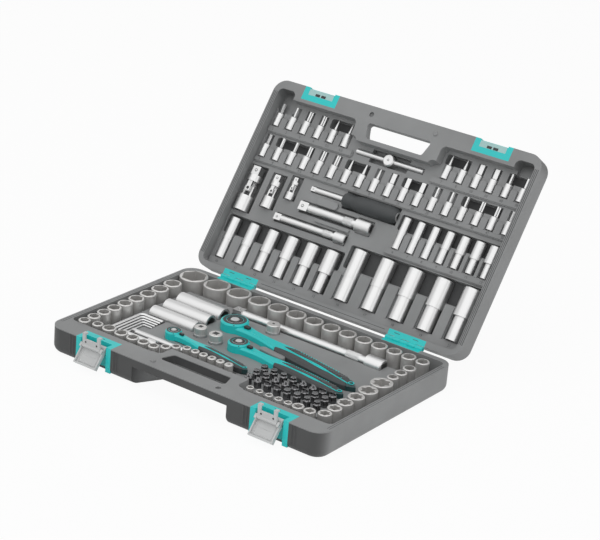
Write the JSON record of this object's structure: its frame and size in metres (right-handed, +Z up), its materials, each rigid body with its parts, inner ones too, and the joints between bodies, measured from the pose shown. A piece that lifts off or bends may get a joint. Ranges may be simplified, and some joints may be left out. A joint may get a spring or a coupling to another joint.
{
  "type": "socket wrench set in case",
  "caption": "Hinged tool case with latches, its base and lid trays holding ratchets, sockets, bits, extension bars and universal joints.",
  "frame": {"origin": "centre of the base's flat underside, on the surface it lies on", "axes": "+Z up, +X along the latch side to the right as seen from the latches, +Y from the latch side to the hinges"},
  "size_m": [0.45, 0.5146, 0.2833],
  "materials": {
    "case_plastic": "fine grained moulded grey plastic",
    "teal_plastic": "smooth moulded teal plastic",
    "latch_plastic": "light grey moulded plastic",
    "pin_steel": "drawn steel rod",
    "satin_nickel": "satin plated steel",
    "satin_chrome": "satin chrome plated steel",
    "dark_steel": "dark phosphated steel",
    "handle_rubber": "ribbed dark grey rubber",
    "ratchet_teal": "teal moulded handle",
    "dark_plastic": "dark moulded lever",
    "button_white": "pale moulded button"
  },
  "bodies": {
    "base": {"case_base": "case_plastic", "hinge_leaf_base_left": "teal_plastic", "hinge_leaf_base_right": "teal_plastic", "hinge_pin_left": "pin_steel", "hinge_pin_right": "pin_steel", "latch_housing_left": "teal_plastic", "latch_housing_right": "teal_plastic", "latch_pin_left": "pin_steel", "latch_pin_right": "pin_steel", "sockets_half_inch": "satin_nickel", "sockets_three_eighths": "satin_nickel", "sockets_quarter": "satin_nickel", "star_sockets": "satin_nickel", "spark_plug_sockets": "satin_chrome", "extension_bar_long": "satin_chrome", "quarter_extension_bars": "satin_chrome", "adapters": "satin_chrome", "hex_keys": "dark_steel", "bits": "dark_steel"},
    "lid": {"case_lid": "case_plastic", "hinge_leaf_lid_left": "teal_plastic", "hinge_leaf_lid_right": "teal_plastic", "strike_plate_left": "teal_plastic", "strike_plate_right": "teal_plastic", "bit_sockets": "satin_chrome", "deep_sockets_quarter": "satin_chrome", "deep_sockets_three_eighths": "satin_chrome", "deep_sockets_half": "satin_chrome", "lid_extension_bars": "satin_chrome", "spinner_shaft": "satin_chrome", "spinner_grip": "handle_rubber", "tee_bar_rod": "satin_chrome", "joint_socket_yokes": "satin_chrome"},
    "tee_head": {"tee_bar_head": "satin_chrome"},
    "lever_left": {"latch_lever_left": "latch_plastic"},
    "link_left": {"latch_link_left": "latch_plastic"},
    "lever_right": {"latch_lever_right": "latch_plastic"},
    "link_right": {"latch_link_right": "latch_plastic"},
    "ratchet_half": {"ratchet_body_half": "ratchet_teal", "ratchet_grip_half": "handle_rubber"},
    "drive_half": {"ratchet_drive_half": "satin_chrome"},
    "selector_half": {"ratchet_selector_half": "dark_plastic"},
    "button_half": {"ratchet_button_half": "button_white"},
    "ratchet_eighth": {"ratchet_body_eighth": "ratchet_teal", "ratchet_grip_eighth": "handle_rubber"},
    "drive_eighth": {"ratchet_drive_eighth": "satin_chrome"},
    "selector_eighth": {"ratchet_selector_eighth": "dark_plastic"},
    "button_eighth": {"ratchet_button_eighth": "button_white"},
    "ratchet_quarter": {"ratchet_body_quarter": "ratchet_teal", "ratchet_grip_quarter": "handle_rubber"},
    "drive_quarter": {"ratchet_drive_quarter": "satin_chrome"},
    "selector_quarter": {"ratchet_selector_quarter": "dark_plastic"},
    "button_quarter": {"ratchet_button_quarter": "button_white"},
    "cross_half": {"joint_cross_half": "satin_chrome"},
    "joint_drive_half": {"joint_drive_half": "satin_chrome"},
    "cross_eighth": {"joint_cross_eighth": "satin_chrome"},
    "joint_drive_eighth": {"joint_drive_eighth": "satin_chrome"},
    "cross_quarter": {"joint_cross_quarter": "satin_chrome"},
    "joint_drive_quarter": {"joint_drive_quarter": "satin_chrome"}
  },
  "joints": [
    {"name": "lid_hinge", "type": "hinge", "parent": "base", "child": "lid", "pos_m": [0, 0.152, 0.03825], "axis": [1, 0, 0], "range_deg": [0, 125.24]},
    {"name": "tee_head_slide", "type": "slide", "parent": "lid", "child": "tee_head", "axis": [1, 0, 0], "range_m": [-0.022, 0.022]},
    {"name": "latch_lever_left_pivot", "type": "hinge", "parent": "base", "child": "lever_left", "pos_m": [-0.145, -0.143, 0.032], "axis": [1, 0, 0], "range_deg": [-30, 38]},
    {"name": "latch_link_left_pivot", "type": "hinge", "parent": "lever_left", "child": "link_left", "pos_m": [-0.145, -0.15142, 0.03097], "axis": [-1, 0, 0], "range_deg": [-20, 40]},
    {"name": "latch_lever_right_pivot", "type": "hinge", "parent": "base", "child": "lever_right", "pos_m": [0.145, -0.143, 0.032], "axis": [1, 0, 0], "range_deg": [-30, 38]},
    {"name": "latch_link_right_pivot", "type": "hinge", "parent": "lever_right", "child": "link_right", "pos_m": [0.145, -0.15142, 0.03097], "axis": [-1, 0, 0], "range_deg": [-20, 40]},
    {"name": "ratchet_half_lift", "type": "slide", "parent": "base", "child": "ratchet_half", "axis": [0, 0, -1], "range_m": [-0.06, 0]},
    {"name": "ratchet_half_spin", "type": "hinge", "parent": "ratchet_half", "child": "drive_half", "pos_m": [-0.062, 0.044, 0.03], "axis": [0, 0, 1], "continuous": true},
    {"name": "ratchet_half_selector", "type": "hinge", "parent": "ratchet_half", "child": "selector_half", "pos_m": [-0.03794, 0.03954, 0.036], "axis": [0, 0, 1], "range_deg": [-20, 20]},
    {"name": "ratchet_half_release", "type": "slide", "parent": "drive_half", "child": "button_half", "axis": [0, 0, -1], "range_m": [0, 0.0012], "stiffness_N_per_m": 900, "springref_m": -0.002},
    {"name": "ratchet_eighth_lift", "type": "slide", "parent": "base", "child": "ratchet_eighth", "axis": [0, 0, -1], "range_m": [-0.06, 0]},
    {"name": "ratchet_eighth_spin", "type": "hinge", "parent": "ratchet_eighth", "child": "drive_eighth", "pos_m": [-0.016, -0.0054, 0.03], "axis": [0, 0, 1], "continuous": true},
    {"name": "ratchet_eighth_selector", "type": "hinge", "parent": "ratchet_eighth", "child": "selector_eighth", "pos_m": [0.00297, -0.0076, 0.036], "axis": [0, 0, 1], "range_deg": [-20, 20]},
    {"name": "ratchet_eighth_release", "type": "slide", "parent": "drive_eighth", "child": "button_eighth", "axis": [0, 0, -1], "range_m": [0, 0.0012], "stiffness_N_per_m": 900, "springref_m": -0.002},
    {"name": "ratchet_quarter_lift", "type": "slide", "parent": "base", "child": "ratchet_quarter", "axis": [0, 0, -1], "range_m": [-0.06, 0]},
    {"name": "ratchet_quarter_spin", "type": "hinge", "parent": "ratchet_quarter", "child": "drive_quarter", "pos_m": [-0.1, -0.039, 0.03], "axis": [0, 0, 1], "continuous": true},
    {"name": "ratchet_quarter_selector", "type": "hinge", "parent": "ratchet_quarter", "child": "selector_quarter", "pos_m": [-0.08572, -0.04103, 0.036], "axis": [0, 0, 1], "range_deg": [-20, 20]},
    {"name": "ratchet_quarter_release", "type": "slide", "parent": "drive_quarter", "child": "button_quarter", "axis": [0, 0, -1], "range_m": [0, 0.0012], "stiffness_N_per_m": 900, "springref_m": -0.002},
    {"name": "universal_half_tilt", "type": "hinge", "parent": "lid", "child": "cross_half", "pos_m": [-0.201, 0.24326, 0.13797], "axis": [-1, 0, 0], "range_deg": [-30, 0]},
    {"name": "universal_half_swing", "type": "hinge", "parent": "cross_half", "child": "joint_drive_half", "pos_m": [-0.201, 0.24326, 0.13797], "axis": [0, -0.8167, 0.577], "range_deg": [-8, 8]},
    {"name": "universal_eighth_tilt", "type": "hinge", "parent": "lid", "child": "cross_eighth", "pos_m": [-0.163, 0.24695, 0.14319], "axis": [-1, 0, 0], "range_deg": [-30, 0]},
    {"name": "universal_eighth_swing", "type": "hinge", "parent": "cross_eighth", "child": "joint_drive_eighth", "pos_m": [-0.163, 0.24695, 0.14319], "axis": [0, -0.8167, 0.577], "range_deg": [-8, 8]},
    {"name": "universal_quarter_tilt", "type": "hinge", "parent": "lid", "child": "cross_quarter", "pos_m": [-0.1335, 0.25474, 0.15422], "axis": [-1, 0, 0], "range_deg": [-30, 0]},
    {"name": "universal_quarter_swing", "type": "hinge", "parent": "cross_quarter", "child": "joint_drive_quarter", "pos_m": [-0.1335, 0.25474, 0.15422], "axis": [0, -0.8167, 0.577], "range_deg": [-8, 8]}
  ]
}
